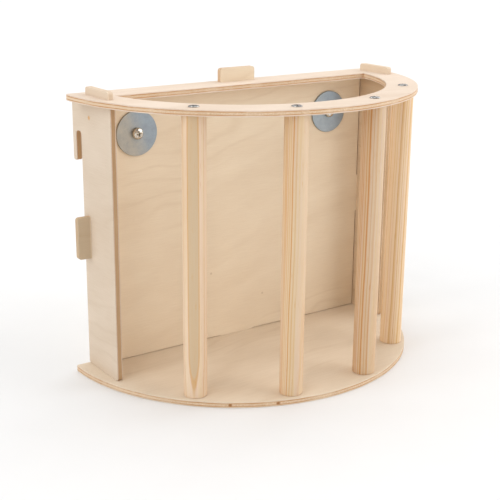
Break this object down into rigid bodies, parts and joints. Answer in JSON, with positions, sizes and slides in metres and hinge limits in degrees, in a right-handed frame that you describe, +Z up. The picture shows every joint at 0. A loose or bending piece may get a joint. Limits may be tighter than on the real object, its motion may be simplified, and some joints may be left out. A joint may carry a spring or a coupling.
{
  "type": "cage-mounted hay rack",
  "caption": "Half-round plywood hay rack with round dowel bars, open on top, with hooks and washer clamps on its flat back for the wires of a small-animal cage.",
  "frame": {"origin": "middle of the bottom plate's footprint, on its underside", "axes": "+Z up, +Y towards the flat back with the hooks, -Y towards the dowel bars, +X along the width, to the right as seen from the bars"},
  "size_m": [0.25, 0.1448, 0.1974],
  "materials": {
    "birch_plywood": "bare sanded birch plywood with layered edges",
    "pine_dowel": "bare sanded pine with long grain",
    "nickel_screw": "bright nickel plate",
    "zinc_washer": "dull blue-grey zinc plate",
    "zinc_nut": "cast zinc plate"
  },
  "bodies": {
    "rack": {"bottom_plate": "birch_plywood", "top_ring": "birch_plywood", "back_panel": "birch_plywood", "left_side_panel": "birch_plywood", "right_side_panel": "birch_plywood", "dowel_1": "pine_dowel", "dowel_2": "pine_dowel", "dowel_3": "pine_dowel", "dowel_4": "pine_dowel", "top_screw_1": "nickel_screw", "top_screw_2": "nickel_screw", "top_screw_3": "nickel_screw", "top_screw_4": "nickel_screw", "foot_screw_1": "nickel_screw", "foot_screw_2": "nickel_screw", "foot_screw_3": "nickel_screw", "foot_screw_4": "nickel_screw", "left_clamp_bolt": "nickel_screw", "right_clamp_bolt": "nickel_screw", "left_front_washer": "zinc_washer", "right_front_washer": "zinc_washer"},
    "left_washer": {"left_rear_washer": "zinc_washer"},
    "left_nut": {"left_wing_nut": "zinc_nut"},
    "right_washer": {"right_rear_washer": "zinc_washer"},
    "right_nut": {"right_wing_nut": "zinc_nut"}
  },
  "joints": [
    {"name": "left_washer_travel", "type": "slide", "parent": "rack", "child": "left_washer", "axis": [0, 1, 0], "range_m": [0, 0.0126]},
    {"name": "left_nut_turn", "type": "hinge", "parent": "left_washer", "child": "left_nut", "pos_m": [-0.08, 0.0612, 0.16], "axis": [0, 1, 0], "range_deg": [0, 6480]},
    {"name": "right_washer_travel", "type": "slide", "parent": "rack", "child": "right_washer", "axis": [0, 1, 0], "range_m": [0, 0.0126]},
    {"name": "right_nut_turn", "type": "hinge", "parent": "right_washer", "child": "right_nut", "pos_m": [0.08, 0.0612, 0.16], "axis": [0, 1, 0], "range_deg": [0, 6480]}
  ],
  "couplings": [
    {"joint": "left_nut_turn", "follows": "left_washer_travel", "rad_per_m": 8976},
    {"joint": "right_nut_turn", "follows": "right_washer_travel", "rad_per_m": 8976}
  ]
}
